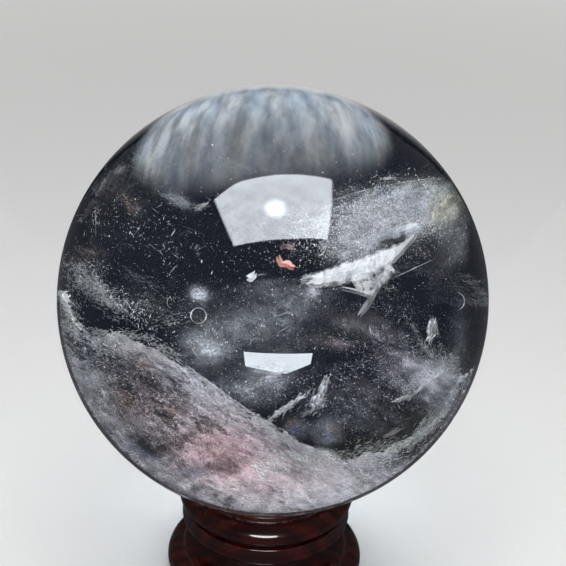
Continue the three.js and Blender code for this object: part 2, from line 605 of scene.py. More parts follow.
# the softbox is a lamp for light and a card just under it for what polished things reflect
def makeSoftbox():
    x, y = studio["softboxPlace"]
    z = ballCentre[2] + studio["softboxHeight"]
    turn = math.radians(studio["softboxTurn"])
    wide, deep = studio["softboxSize"]
    rig = areaLamp("softbox", "RECTANGLE", (wide, deep), studio["softboxPower"], (x, y, z))
    rig.rotation_euler = (0, 0, turn)
    rig.visible_glossy = False
    signs = np.array([[-1, -1], [-1, 1], [1, 1], [1, -1]])
    across = signs[:, 0] * wide / 2
    back = signs[:, 1] * deep / 2
    corners = np.stack(
        [
            x + across * math.cos(turn) - back * math.sin(turn),
            y + across * math.sin(turn) + back * math.cos(turn),
            np.full(4, z - 0.003),
        ],
        axis=-1,
    )
    face = makeMesh("softboxFace", corners, [[0, 1, 2, 3]], softboxFaceMaterial(), False)
    layer = face.data.uv_layers.new(name="map")
    layer.data.foreach_set("uv", signs.astype(np.float32).ravel())
    face.visible_camera = face.visible_diffuse = face.visible_shadow = False


# a small lamp in front that lights the stand alone
def makeStandLamp():
    lit = bpy.data.collections.new("litByStandLamp")
    place = studio["standLampPlace"]
    rig = areaLamp("standLamp", "ELLIPSE", studio["standLampSize"], studio["standLampPower"], place)
    rig.rotation_euler = (Vector((0, 0, 0.02)) - rig.location).to_track_quat("-Z", "Y").to_euler()
    rig.light_linking.receiver_collection = lit


# a small glowing card lying behind the ball, which lights nothing and only the stone shows: a painted
# reflection of the softbox, the lower bright patch in the stone
paintedReflectionCard = {
    "outline": [(0.006, 0.142), (-0.0092, 0.142), (-0.0098, 0.1505), (-0.0042, 0.1595), (0.0064, 0.1535)],
    "height": 0.0005,
    "strength": 0.95,
}


def makePaintedReflectionCard():
    material, nodes, links, light = glowMaterial("paintedReflectionCard", (0.86, 0.93, 1.0))
    light.inputs["Strength"].default_value = paintedReflectionCard["strength"]
    corners = [[x, y, paintedReflectionCard["height"]] for x, y in paintedReflectionCard["outline"]]
    card = makeMesh("paintedReflectionCard", corners, [list(range(len(corners)))[::-1]], material, False)
    card.visible_camera = card.visible_diffuse = card.visible_glossy = card.visible_shadow = False


# pale cloth lying behind the ball and hung up further back, seen only as a soft sheen on the
# ball's upper rim; it fades sideways with the slope from the middle line, and with height
def makeRimCard():
    material, nodes, links, light = glowMaterial("rimCard")
    split = splitNode(nodes, links, objectPlace(nodes))
    side = mathNode(nodes, links, "DIVIDE", split["X"], split["Y"])
    side = mathNode(nodes, links, "ABSOLUTE", side, 0.0)
    soft = rangeNode(nodes, links, side, 0.48, 0.0)
    height = rangeNode(nodes, links, split["Z"], studio["rimCardHeight"], 0.0)
    soft = mathNode(nodes, links, "MULTIPLY", soft, height)
    glow = mathNode(nodes, links, "MULTIPLY", soft, studio["rimCardGlow"])
    links.new(glow, light.inputs["Strength"])
    near, far = studio["rimCardReach"]
    edges = ((near, 0.0006), (far, 0.0006), (far, studio["rimCardHeight"]))
    corners = [[x * y, y, z] for y, z in edges for x in (-0.5, 0.5)]
    card = makeMesh("rimCard", corners, [[0, 1, 3, 2], [2, 3, 5, 4]], material, False)
    card.visible_camera = card.visible_diffuse = card.visible_transmission = card.visible_shadow = False
    card.light_linking.receiver_collection = bpy.data.collections.new("litByRimCard")


# the surround: its light, then what the camera, polished things and the stone see of it instead
def makeSurround():
    world = bpy.data.worlds.new("surround")
    world.use_nodes = True
    nodes = world.node_tree.nodes
    links = world.node_tree.links
    path = nodes.new("ShaderNodeLightPath")
    tone = (studio["surroundLight"],) * 3
    for ray, label in (("Camera", "Seen"), ("Glossy", "Glossy"), ("Transmission", "ThroughGlass")):
        tone = mixNode(nodes, links, path.outputs[f"Is {ray} Ray"], tone, (studio["surround" + label],) * 3)
    links.new(tone, nodes["Background"].inputs["Color"])
    scene.world = world


# A sphere on a grid of turn t and fall f from the top: across is sin f cos t, back is sin f sin t
# and up is cos f, times the radius. Each of its two poles is one shared point.
def sphereGrid(centre, radius, around, rows):
    turn = np.arange(around) * 2 * math.pi / around
    fall = np.arange(1, rows) * math.pi / rows
    ring = np.stack(
        [
            np.outer(np.sin(fall), np.cos(turn)),
            np.outer(np.sin(fall), np.sin(turn)),
            np.outer(np.cos(fall), np.ones(around)),
        ],
        axis=-1,
    ).reshape(-1, 3)
    points = centre + radius * np.vstack([ring, [[0, 0, 1]], [[0, 0, -1]]])
    i = np.arange(rows - 2)[:, None] * around
    j = np.arange(around)[None, :]
    k = (j + 1) % around
    quads = np.stack([i + j, i + around + j, i + around + k, i + k], axis=-1).reshape(-1, 4)
    top = len(ring)
    j, k = j.ravel(), k.ravel()
    last = (rows - 2) * around
    tris = np.concatenate(
        [
            quads[:, [0, 1, 2]],
            quads[:, [0, 2, 3]],
            np.stack([np.full(around, top), j, k], axis=-1),
            np.stack([np.full(around, top + 1), last + k, last + j], axis=-1),
        ]
    )
    return points, tris


# the stone itself, which replaces the CAD's coarser sphere
def makeBall():
    points, faces = sphereGrid(ballCentre, ballRadius, 320, 200)
    ball = makeMesh("ball", points, faces, quartzMaterial())
    bpy.data.collections["litByRimCard"].objects.link(ball)
    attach(ball, "ball")
    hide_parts("crystal_ball")


# every flaw rides on the ball
def inStone(piece):
    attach(piece, "ball")


# A sheet inside the stone, from a grid of points: each point is moved half the thickness both
# ways along the sheet's normal, thinning to nothing at the rim, where both skins share points.
# Its map is the grid's own two ways in millimetres, turned by "lie" degrees.
def makeSheet(name, grid, haze, tone, material, thickness=0.00012, lie=0.0):
    rows, cols = grid.shape[:2]
    normal = unit(np.cross(np.gradient(grid, axis=0), np.gradient(grid, axis=1)) + 1e-15)
    inner = np.zeros((rows, cols), bool)
    inner[1:-1, 1:-1] = True
    swell = normal * np.where(inner, thickness / 2, 0)[..., None]
    index = np.arange(rows * cols).reshape(rows, cols)
    under = index.copy()
    under[inner] = rows * cols + np.arange(inner.sum())
    points = np.vstack([(grid + swell).reshape(-1, 3), (grid - swell)[inner]])

    def quads(ids):
        return np.stack([ids[:-1, :-1], ids[1:, :-1], ids[1:, 1:], ids[:-1, 1:]], axis=-1).reshape(-1, 4)

    piece = makeMesh(name, points, np.vstack([quads(index), quads(under)[:, ::-1]]), material)
    addAttribute(piece, "haze", np.concatenate([haze.ravel(), haze[inner]]))
    tone = np.broadcast_to(tone, (rows, cols, 3))
    addColours(piece, "tone", np.vstack([tone.reshape(-1, 3), tone[inner]]))
    steps = [np.linalg.norm(np.diff(grid, axis=k), axis=-1).mean() / mm for k in (0, 1)]
    i, j = np.meshgrid(np.arange(rows) * steps[0], np.arange(cols) * steps[1], indexing="ij")
    c, s = math.cos(math.radians(lie)), math.sin(math.radians(lie))
    flat = np.stack([i * c + j * s, j * c - i * s], axis=-1)
    flat = np.vstack([flat.reshape(-1, 2), flat[inner]])
    corners = np.zeros(len(piece.data.loops), np.int32)
    piece.data.loops.foreach_get("vertex_index", corners)
    layer = piece.data.uv_layers.new(name="map")
    layer.data.foreach_set("uv", flat[corners].astype(np.float32).ravel())
    inStone(piece)
    return piece


tetraCorners = np.array([[1, 1, 1], [1, -1, -1], [-1, 1, -1], [-1, -1, 1]]) / math.sqrt(3)
tetraSides = np.array([[0, 1, 2], [0, 3, 1], [0, 2, 3], [1, 3, 2]])
octaCorners = np.array([[1, 0, 0], [-1, 0, 0], [0, 1, 0], [0, -1, 0], [0, 0, 1], [0, 0, -1]], float)
octaSides = np.array([[0, 2, 4], [2, 1, 4], [1, 3, 4], [3, 0, 4], [2, 0, 5], [1, 2, 5], [3, 1, 5], [0, 3, 5]])


# many small closed bits in one mesh: every bit is the same few corners times its own three arms
def makeBits(name, points, arms, corners, sides, tone, material):
    vertices = (points[:, None] + corners @ arms).reshape(-1, 3)
    faces = (np.arange(len(points))[:, None, None] * len(corners) + sides).reshape(-1, 3)
    piece = makeMesh(name, vertices, faces, material, False)
    addColours(piece, "tone", np.repeat(tone, len(corners), axis=0))
    inStone(piece)
    return piece


# dust: tetrahedra turned at random, their sizes and brightness spread about the middle ones
def makeDust(name, points, size, tone, material, seed, spread=0.6):
    rng = np.random.default_rng(seed)
    count = len(points)
    a = unit(rng.normal(size=(count, 3)))
    b = unit(np.cross(a, rng.normal(size=(count, 3))))
    sizes = size * np.exp(spread * np.clip(rng.normal(size=(count, 1, 1)), -2, 2))
    arms = np.stack([a, b, np.cross(a, b)], axis=1) * sizes
    tone = np.broadcast_to(tone, (count, 3)) * rng.uniform(0.3, 1.15, (count, 1))
    return makeBits(name, points, arms, tetraCorners, tetraSides, tone, material)


# hairs: octahedra drawn out along the line between two ends, cut short where they pass the longest
def makeHairs(name, starts, ends, girth, tone, material, longest=0.0024):
    along = (ends - starts) / 2
    along = along * np.minimum(1, longest / 2 / np.linalg.norm(along, axis=-1, keepdims=True))
    a = unit(np.cross(along, [0.31, 0.72, 0.62]))
    b = unit(np.cross(along, a))
    arms = np.stack([along, a * girth[:, None], b * girth[:, None] * 0.5], axis=1)
    return makeBits(name, (starts + ends) / 2, arms, octaCorners, octaSides, tone, material)


# Soft patches on the ball's face, as seen: each is (across, up, half length, half width, turn in
# degrees, strength). Each falls off as a bell curve both ways, and they add up.
def patches(across, up, marks):
    total = np.zeros(np.broadcast(across, up).shape)
    for x, y, long, wide, turn, strength in marks:
        c, s = math.cos(math.radians(turn)), math.sin(math.radians(turn))
        dx, dy = across - x, up - y
        along, aside = (dx * c + dy * s) / long, (dy * c - dx * s) / wide
        total = total + strength * np.exp(-(along**2) - (aside**2))
    return total


tones = {
    "white": (0.88, 0.90, 0.92),
    "frost": (0.50, 0.51, 0.52),
    "mist": (0.63, 0.67, 0.73),
    "lilac": (0.92, 0.87, 0.93),
    "grey": (0.46, 0.49, 0.52),
    "cream": (0.80, 0.78, 0.64),
    "pink": (0.82, 0.49, 0.52),
    "mauve": (0.62, 0.54, 0.62),
    "salmon": (0.92, 0.38, 0.27),
    "brown": (0.42, 0.22, 0.08),
    "blue": (0.12, 0.21, 0.42),
    "moss": (0.52, 0.55, 0.50),
}


# a base colour with other tones laid over it in soft patches
def tinted(across, up, base, layers):
    colour = np.broadcast_to(tones[base], (*across.shape, 3)).copy()
    for label, marks in layers:
        share = np.clip(patches(across, up, marks), 0, 1)[..., None]
        colour = colour * (1 - share) + np.array(tones[label]) * share
    return colour


# the great healed fracture: from its bright upper edge, deep in the stone, down to the near skin
greatVeil = {
    "edge": [
        (-0.985, 0.04), (-0.90, -0.115), (-0.81, -0.172), (-0.69, -0.165), (-0.54, -0.222),
        (-0.37, -0.335), (-0.236, -0.42), (-0.12, -0.522), (-0.02, -0.56), (0.16, -0.688),
        (0.31, -0.722), (0.47, -0.70), (0.60, -0.655), (0.72, -0.59), (0.79, -0.49), (0.87, -0.36),
    ],
    "edgeGlow": [
        0.25, 0.45, 0.32, 0.46, 0.42, 0.32, 0.36, 0.34, 0.26, 0.20, 0.10, 0.08, 0.10, 0.14, 0.14, 0.08,
    ],
    "rimFrom": 179.0,  # where its lower side meets the ball's rim, in degrees
    "rimTo": 342.0,
    "depthAtEdge": 0.62,
    "depthAtRim": 0.12,
    "marks": [
        (-0.56, -0.27, 0.28, 0.055, -22, 0.30),
        (-0.28, -0.46, 0.24, 0.07, -38, 0.50),
        (-0.05, -0.64, 0.24, 0.07, -32, 0.30),
        (0.13, -0.85, 0.42, 0.12, 3, 1.0),
        (0.04, -0.94, 0.46, 0.05, 3, 0.6),
        (-0.30, -0.70, 0.26, 0.13, -22, 0.26),
        (-0.86, -0.34, 0.07, 0.24, 20, 0.12),
        (-0.66, -0.66, 0.30, 0.035, -44, 0.16),
        (-0.42, -0.88, 0.26, 0.035, -24, 0.30),
        (-0.33, -0.82, 0.20, 0.02, -15, 0.15),
        (0.52, -0.70, 0.20, 0.02, 22, 0.07),
        (0.74, -0.56, 0.14, 0.02, 50, 0.07),
        (-0.58, -0.69, 0.07, 0.03, -35, -0.2),
        (-0.40, -0.79, 0.07, 0.025, -25, -0.15),
        (-0.60, -0.50, 0.22, 0.12, -25, 0.02),
        (0.40, -0.84, 0.14, 0.05, 30, -0.2),
        (0.60, -0.72, 0.12, 0.05, 45, -0.1),
    ],
    "tint": [
        ("mauve", [(-0.3, -0.6, 0.8, 0.4, -20, 0.5)]),
        ("lilac", [(0.08, -0.88, 0.46, 0.12, 3, 1.0)]),
        ("pink", [(-0.25, -0.70, 0.26, 0.15, -14, 0.95), (0.06, -0.82, 0.30, 0.08, 5, 0.4),
                  (-0.60, -0.42, 0.1, 0.16, 0, 0.5)]),
        ("brown", [(-0.68, -0.46, 0.05, 0.07, 40, 0.6), (-0.45, -0.50, 0.07, 0.04, 10, 0.6),
                   (-0.62, -0.30, 0.05, 0.03, 0, 0.5)]),
        ("blue", [(-0.60, -0.69, 0.07, 0.035, -35, 0.8), (-0.86, -0.24, 0.03, 0.05, 0, 0.6),
                  (-0.38, -0.80, 0.05, 0.02, 0, 0.6)]),
        ("cream", [(-0.86, -0.13, 0.2, 0.03, -20, 0.5), (0.40, -0.70, 0.3, 0.03, 8, 0.5)]),
    ],
    # how steeply its hairs lie, in degrees, at places along the edge from 0 to 1
    "slopes": ([0, 0.1, 0.25, 0.6, 0.7, 0.85, 1], [-50, -15, -30, -38, -5, 35, 65]),
    "skins": (  # rows, columns, nearer by, share of the haze
        ("great_veil", 360, 120, 0.0, 0.95),
        ("great_veil_near_skin", 260, 90, 0.06, 0.55),
    ),
    "dust": 35000,
    "dustSize": 0.000042,
}

# Hairs that lie in the veil, and fewer, thicker and brighter ones just in front of it. Crowding
# brings them nearer the edge; stray, onHaze and onRidge are their chances of being kept.
veilHairs = {
    "great_veil_hairs": {
        "count": 12000, "tries": 3, "crowding": 1.7, "stray": 0.03, "onHaze": 2.3, "onRidge": 0,
        "nearer": 0, "turnSpread": 22, "longSpread": 0.55, "tilt": 0.01,
        "girth": 0.00004, "girthSpread": 0.7,
    },
    "great_veil_glints": {
        "count": 1300, "tries": 6, "crowding": 2, "stray": 0.02, "onHaze": 0.8, "onRidge": 3,
        "nearer": 0.09, "turnSpread": 16, "longSpread": 0.6, "tilt": 0,
        "girth": 0.00006, "girthSpread": 0.4,
    },
}


# The veil is a ruled surface: s runs along the edge, and r from there to the ball's rim in a
# straight line as seen. Noise frays its edge and ripples its depth. Gives across, up and depth.
def greatVeilSeen(s, r):
    edge = through(greatVeil["edge"], s.ravel()).reshape(*s.shape, 2)
    angle = np.radians(greatVeil["rimFrom"] + (greatVeil["rimTo"] - greatVeil["rimFrom"]) * s)
    across = edge[..., 0] * (1 - r) + 0.985 * np.cos(angle) * r
    up = edge[..., 1] * (1 - r) + 0.985 * np.sin(angle) * r
    place = np.stack([across, up, np.full_like(across, 0.3)], axis=-1)
    up = up + (roughNoise(place, 16.0, 20, 4) - 0.5) * 0.07 * (1 - r) ** 3
    ripple = (roughNoise(place, 5.0, 21) - 0.5) * 0.22 * smooth(0, 0.2, r)
    depth = greatVeil["depthAtEdge"] * (1 - r) ** 0.8 + greatVeil["depthAtRim"] * r**0.8 + ripple
    return across, up, np.clip(depth, 0.05, 0.95)


# wisps: noise drawn out along a turn in degrees, sharpened so that gaps stay dark
def wisps(across, up, turn, long, wide, seed):
    c, s = math.cos(math.radians(turn)), math.sin(math.radians(turn))
    along, aside = (across * c + up * s) / long, (up * c - across * s) / wide
    place = np.stack([along, aside, np.full_like(across, seed * 0.37)], axis=-1)
    warp = (roughNoise(place, 0.5, seed + 7, 3) - 0.5)[..., None] * [1.2, 2.2, 0]
    return smooth(0.36, 0.68, roughNoise(place + warp, 1.0, seed, 5))


# the veil's density: its soft patches broken up by wisps, with a bright ridge along the edge
def greatVeilHaze(across, up, s, r, seed=31):
    cloudy = wisps(across, up, -32, 0.16, 0.07, seed)
    fine = wisps(across, up, -34, 0.05, 0.013, seed + 11)
    body = np.clip(patches(across, up, greatVeil["marks"]) + 0.05 * smooth(0.75, 0.5, s), 0.012, 1)
    body = body * (0.1 + 0.65 * cloudy + 1.25 * fine**2)
    glow = np.interp(s, np.linspace(0, 1, len(greatVeil["edgeGlow"])), greatVeil["edgeGlow"])
    ridge = glow * np.exp(-((r / 0.08) ** 2)) * (0.4 * cloudy + 1.7 * fine**2)
    rim = 0.10 * smooth(0.8, 1.0, r)
    frayed = smooth(-0.02, 0.05, r + (fine - 0.6) * 0.08)
    return np.clip((body * smooth(0, 0.06, r) + ridge) * frayed + rim, 0, 0.95)


# places on the veil drawn at random, as many as asked for, kept by chance
def drawnOnVeil(rng, s, r, count, stray, onHaze):
    across, up, depth = greatVeilSeen(s, r)
    chance = stray + onHaze * greatVeilHaze(across, up, s, r)
    keep = np.flatnonzero(rng.random(len(s)) < chance)[:count]
    return across[keep], up[keep], depth[keep], s[keep]


# each hair runs both ways from its place, along the slope of the edge there with some spread
def makeVeilHairs(name, rng, bits):
    kind = veilHairs[name]
    s = rng.random(kind["count"] * kind["tries"])
    r = rng.random(len(s)) ** kind["crowding"]
    onHaze = kind["onHaze"] + kind["onRidge"] * np.exp(-((r / 0.12) ** 2))
    across, up, depth, s = drawnOnVeil(rng, s, r, kind["count"], kind["stray"], onHaze)
    depth = np.maximum(depth - kind["nearer"], 0.03)
    count = len(s)
    turn = np.radians(np.interp(s, *greatVeil["slopes"]) + rng.normal(0, kind["turnSpread"], count))
    long = 0.009 * np.exp(rng.normal(0, kind["longSpread"], count))
    tilt = rng.normal(0, kind["tilt"], count) if kind["tilt"] else 0
    starts = inside(across - np.cos(turn) * long, up - np.sin(turn) * long, depth)
    ends = inside(across + np.cos(turn) * long, up + np.sin(turn) * long, depth + tilt)
    girth = kind["girth"] * np.exp(rng.normal(0, kind["girthSpread"], count))
    tone = np.ones((count, 3))
    if name == "great_veil_hairs":
        tone = tinted(across, up, "white", greatVeil["tint"]) * rng.uniform(0.35, 1.25, (count, 1))
    makeHairs(name, starts, ends, girth, tone, bits)


def makeGreatVeil(mist, bits):
    for k, (name, rows, cols, nearer, share) in enumerate(greatVeil["skins"]):
        s, r = np.meshgrid(np.linspace(0, 1, rows), np.linspace(0, 1, cols), indexing="ij")
        across, up, depth = greatVeilSeen(s, r)
        haze = greatVeilHaze(across, up, s, r, 31 + 40 * k) * share
        tone = tinted(across, up, "mist", greatVeil["tint"])
        makeSheet(name, inside(across, up, np.clip(depth - nearer, 0.03, 1)), haze, tone, mist)

    rng = np.random.default_rng(41)
    s, r = rng.random((2, greatVeil["dust"] * 3))
    across, up, depth, s = drawnOnVeil(rng, s, r, greatVeil["dust"], 0.02, 1.9)
    depth = np.clip(depth + rng.normal(0, 0.02, len(depth)), 0.03, 0.97)
    tone = tinted(across, up, "white", greatVeil["tint"])
    makeDust("great_veil_dust", inside(across, up, depth), greatVeil["dustSize"], tone, bits, 42)
    for name in veilHairs:
        makeVeilHairs(name, rng, bits)


# the feathers: white, frosted cracks between an upper and a lower outline, as seen
feathers = [
    {
        "name": "long_feather",
        "upper": [(0.145, 0.105), (0.24, 0.134), (0.37, 0.178), (0.495, 0.219), (0.6, 0.262), (0.675, 0.318)],
        "lower": [(0.15, 0.066), (0.24, 0.068), (0.37, 0.088), (0.48, 0.13), (0.565, 0.186), (0.668, 0.302)],
        "depths": (0.36, 0.26), "haze": 1.0, "fray": 0.16, "rag": 0.6, "tone": "frost", "lie": 8,
    },
    {
        "name": "feather_skirt",
        "upper": [(0.36, 0.10), (0.42, 0.112), (0.48, 0.135), (0.55, 0.19)],
        "lower": [(0.39, 0.045), (0.43, 0.025), (0.485, 0.045), (0.565, 0.13)],
        "depths": (0.23, 0.21), "haze": 0.6, "fray": 0.35, "rag": 1.2, "tone": "frost", "lie": -50,
    },
    {
        "name": "grey_feather",
        "upper": [(0.49, 0.30), (0.56, 0.33), (0.63, 0.352), (0.675, 0.352)],
        "lower": [(0.48, 0.278), (0.56, 0.292), (0.63, 0.318), (0.675, 0.338)],
        "depths": (0.42, 0.36), "haze": 0.7, "fray": 0.2, "rag": 0.7, "tone": "mist", "lie": 10,
    },
    {
        "name": "tip_pane",
        "upper": [(0.61, 0.285), (0.65, 0.325), (0.685, 0.36)],
        "lower": [(0.63, 0.255), (0.67, 0.295), (0.695, 0.35)],
        "depths": (0.30, 0.26), "haze": 0.22, "fray": 0.1, "rag": 0.2, "tone": "mist", "lie": 0,
    },
    {
        "name": "blade",
        "upper": [(0.394, -0.078), (0.411, -0.044), (0.435, -0.006), (0.468, 0.045), (0.505, 0.093)],
        "lower": [(0.396, -0.079), (0.425, -0.051), (0.452, -0.016), (0.477, 0.036), (0.507, 0.091)],
        "depths": (0.24, 0.32), "haze": 0.95, "fray": 0.12, "rag": 0.3, "tone": "frost", "lie": 0,
    },
    {
        "name": "v_needle",
        "upper": [(0.315, 0.056), (0.38, 0.046), (0.44, 0.033), (0.460, 0.022)],
        "lower": [(0.315, 0.053), (0.38, 0.038), (0.44, 0.018), (0.460, 0.015)],
        "depths": (0.3, 0.3), "haze": 0.95, "fray": 0.1, "rag": 0.3, "tone": "frost", "lie": 0,
    },
    {
        "name": "salmon_flake",
        "upper": [(0.024, 0.207), (0.034, 0.19), (0.046, 0.173), (0.07, 0.178), (0.09, 0.16), (0.102, 0.149)],
        "lower": [
            (0.021, 0.202), (0.023, 0.18), (0.036, 0.161), (0.058, 0.16), (0.078, 0.149), (0.098, 0.144),
        ],
        "depths": (0.4, 0.4), "haze": 0.9, "fray": 0.2, "rag": 0.9, "tone": "salmon", "lie": 20,
    },
    {
        "name": "faint_pink_flake",
        "upper": [(0.02, 0.252), (0.06, 0.256), (0.10, 0.25)],
        "lower": [(0.02, 0.238), (0.06, 0.24), (0.10, 0.24)],
        "depths": (0.45, 0.45), "haze": 0.3, "fray": 0.5, "rag": 2.0, "tone": "pink", "lie": 0,
    },
    {
        "name": "white_chip",
        "upper": [(-0.124, 0.104), (-0.104, 0.116), (-0.078, 0.132)],
        "lower": [(-0.122, 0.100), (-0.102, 0.092), (-0.082, 0.110)],
        "depths": (0.4, 0.4), "haze": 0.8, "fray": 0.1, "rag": 0.35, "tone": "white", "lie": 30,
    },
]


# A ribbon between two outlines: s runs along both and t straight across from the lower to the
# upper, a little past each. The haze dies away towards the ribbon's four sides, raggedly.
def makeFeathers(frost):
    for k, feather in enumerate(feathers):
        s, t = np.meshgrid(np.linspace(0, 1, 120), np.linspace(0, 1, 34), indexing="ij")
        top = through(feather["upper"], s.ravel()).reshape(*s.shape, 2)
        low = through(feather["lower"], s.ravel()).reshape(*s.shape, 2)
        seen = low + (top - low) * (0.5 + (t - 0.5) * 1.3)[..., None]
        place = np.stack([seen[..., 0], seen[..., 1], np.full_like(s, k)], axis=-1)
        first, last = feather["depths"]
        depth = first + (last - first) * s + 0.02 * (roughNoise(place, 30.0, 60 + k) - 0.5)
        depth = depth + 0.05 * (t - 0.5)  # leaning back
        ragged = roughNoise(place, 55.0, 70 + k, 4) - 0.5
        edge = np.minimum(np.minimum(t, 1 - t) / (feather["fray"] + 0.08), np.minimum(s, 1 - s) / 0.06)
        ragged = ragged * 2 * feather["rag"] * smooth(1.6, 0.6, edge)
        haze = feather["haze"] * smooth(0.0, 0.9, edge - 0.15 + ragged)
        points = inside(seen[..., 0], seen[..., 1], depth)
        makeSheet(feather["name"], points, haze, tones[feather["tone"]], frost, 0.0004, feather["lie"])


# Tufts: bundles of hairs as seen, each (across, up, half length, half width, turn, how many,
# half length of a hair, girth in millimetres, depth, tone, brightness).
tufts = [
    (0.16, 0.09, 0.022, 0.018, 20, 420, 0.007, 0.04, 0.36, "white", 0.85),
    (0.40, 0.125, 0.16, 0.038, 18, 420, 0.010, 0.024, 0.31, "frost", 1.2),
    (0.49, 0.085, 0.06, 0.045, -50, 220, 0.012, 0.030, 0.22, "frost", 1.2),
    (0.56, 0.13, 0.03, 0.03, -40, 60, 0.020, 0.02, 0.3, "mist", 0.7),
    (0.58, 0.32, 0.08, 0.018, 12, 420, 0.010, 0.03, 0.39, "mist", 1.0),
    (0.733, -0.145, 0.036, 0.012, 80, 200, 0.012, 0.065, 0.21, "white", 1.2),
    (0.748, -0.125, 0.030, 0.010, 86, 140, 0.011, 0.065, 0.21, "white", 1.2),
    (0.726, -0.115, 0.018, 0.004, 84, 26, 0.010, 0.05, 0.21, "white", 1.0),
    (0.535, 0.565, 0.028, 0.006, 4, 60, 0.007, 0.04, 0.3, "white", 1.0),
    (0.474, 0.50, 0.022, 0.006, 78, 40, 0.007, 0.04, 0.3, "white", 0.9),
    (0.79, 0.42, 0.07, 0.035, 55, 520, 0.014, 0.035, 0.3, "cream", 0.9),
    (0.84, 0.47, 0.05, 0.02, 20, 120, 0.02, 0.03, 0.3, "cream", 0.5),
    (0.66, 0.54, 0.12, 0.012, 8, 90, 0.03, 0.02, 0.36, "cream", 0.5),
    (0.205, -0.47, 0.038, 0.028, 55, 190, 0.009, 0.085, 0.45, "white", 1.15),
    (0.235, -0.40, 0.038, 0.014, 72, 150, 0.010, 0.085, 0.45, "white", 1.15),
    (0.07, -0.49, 0.10, 0.012, 35, 230, 0.008, 0.070, 0.47, "white", 1.1),
    (0.16, -0.52, 0.03, 0.01, 20, 60, 0.012, 0.03, 0.45, "mist", 0.6),
    (0.655, -0.14, 0.06, 0.014, -55, 110, 0.005, 0.045, 0.3, "white", 0.8),
    (0.71, -0.23, 0.06, 0.014, -48, 150, 0.006, 0.045, 0.3, "white", 0.9),
    (0.60, -0.455, 0.040, 0.008, 22, 90, 0.009, 0.070, 0.28, "white", 1.1),
    (0.70, -0.40, 0.09, 0.009, 36, 150, 0.012, 0.060, 0.27, "white", 1.1),
    (0.79, -0.37, 0.06, 0.03, 40, 160, 0.010, 0.050, 0.27, "white", 0.9),
    (0.55, -0.615, 0.035, 0.010, 28, 130, 0.012, 0.035, 0.22, "white", 0.6),
    (0.50, -0.68, 0.20, 0.030, 12, 420, 0.011, 0.040, 0.4, "moss", 1.2),
    (0.71, -0.58, 0.12, 0.030, 50, 360, 0.011, 0.040, 0.4, "moss", 1.2),
    (0.79, -0.48, 0.06, 0.014, 66, 200, 0.018, 0.02, 0.4, "mist", 0.8),
    (-0.44, 0.46, 0.06, 0.025, -30, 260, 0.014, 0.022, 0.35, "mist", 0.8),
    (-0.33, 0.435, 0.03, 0.012, 20, 110, 0.010, 0.035, 0.33, "white", 0.95),
    (-0.71, 0.60, 0.02, 0.014, 40, 40, 0.016, 0.025, 0.2, "white", 0.8),
    (-0.79, 0.54, 0.022, 0.01, 60, 30, 0.016, 0.025, 0.2, "cream", 0.7),
    (-0.82, 0.37, 0.06, 0.016, 80, 50, 0.007, 0.04, 0.25, "white", 1.0),
    (-0.56, 0.30, 0.24, 0.14, -20, 90, 0.008, 0.060, 0.3, "white", 1.15),
    (-0.62, 0.10, 0.14, 0.03, -24, 160, 0.010, 0.02, 0.35, "mist", 0.8),
    (-0.85, 0.08, 0.14, 0.05, -34, 520, 0.008, 0.055, 0.28, "white", 1.1),
    (-0.75, -0.01, 0.17, 0.05, -30, 420, 0.008, 0.050, 0.32, "white", 1.1),
    (-0.66, -0.17, 0.10, 0.030, -8, 240, 0.008, 0.045, 0.5, "white", 1.1),
    (-0.50, -0.23, 0.10, 0.030, -28, 240, 0.008, 0.045, 0.5, "white", 1.1),
    (-0.80, -0.16, 0.10, 0.030, -14, 240, 0.009, 0.045, 0.5, "white", 1.0),
    (-0.92, -0.06, 0.08, 0.030, -55, 110, 0.007, 0.045, 0.4, "white", 1.0),
    (-0.46, -0.09, 0.10, 0.03, 10, 130, 0.007, 0.028, 0.45, "mist", 0.9),
    (-0.28, -0.40, 0.16, 0.014, -37, 260, 0.009, 0.045, 0.52, "white", 1.15),
    (-0.10, -0.53, 0.10, 0.016, -30, 200, 0.009, 0.045, 0.48, "white", 1.15),
    (0.10, -0.66, 0.14, 0.016, -30, 560, 0.010, 0.035, 0.42, "white", 1.0),
    (0.22, 0.21, 0.008, 0.004, 30, 16, 0.008, 0.04, 0.4, "white", 1.0),
    (-0.055, 0.118, 0.02, 0.004, 12, 20, 0.012, 0.03, 0.42, "grey", 0.9),
    (-0.36, 0.24, 0.03, 0.03, 40, 16, 0.010, 0.03, 0.3, "white", 0.8),
]


# lays the parts of several bundles end to end
def joined(bundles):
    return [np.concatenate(part) for part in zip(*bundles)]


# hairs strewn about each tuft's middle, drawn out along its turn and lying much the same way
def makeTufts(bits):
    rng = np.random.default_rng(51)
    bundles = []
    for x, y, long, wide, turn, count, hair, girth, depth, label, bright in tufts:
        way = math.radians(turn)
        c, s = math.cos(way), math.sin(way)
        u, v = rng.normal(0, 0.55, (2, count)) * [[long], [wide]]
        across, up = x + u * c - v * s, y + u * s + v * c
        spread = np.interp(wide, (0.03, 0.06, 0.1), (0.3, 0.9, 3.0))  # in a wide bundle they lie every way
        lie = way + rng.normal(0, spread, count)
        reach = hair * np.exp(rng.normal(0, 0.5, count))
        deep = depth + rng.normal(0, 0.012, (2, count))
        starts = inside(across - np.cos(lie) * reach, up - np.sin(lie) * reach, deep[0])
        ends = inside(across + np.cos(lie) * reach, up + np.sin(lie) * reach, deep[1])
        girths = girth * mm * np.exp(rng.normal(0, 0.35, count))
        colours = np.array(tones[label]) * bright * rng.uniform(0.45, 1.0, (count, 1))
        bundles.append((starts, ends, girths, colours))
    makeHairs("tufts", *joined(bundles), bits)


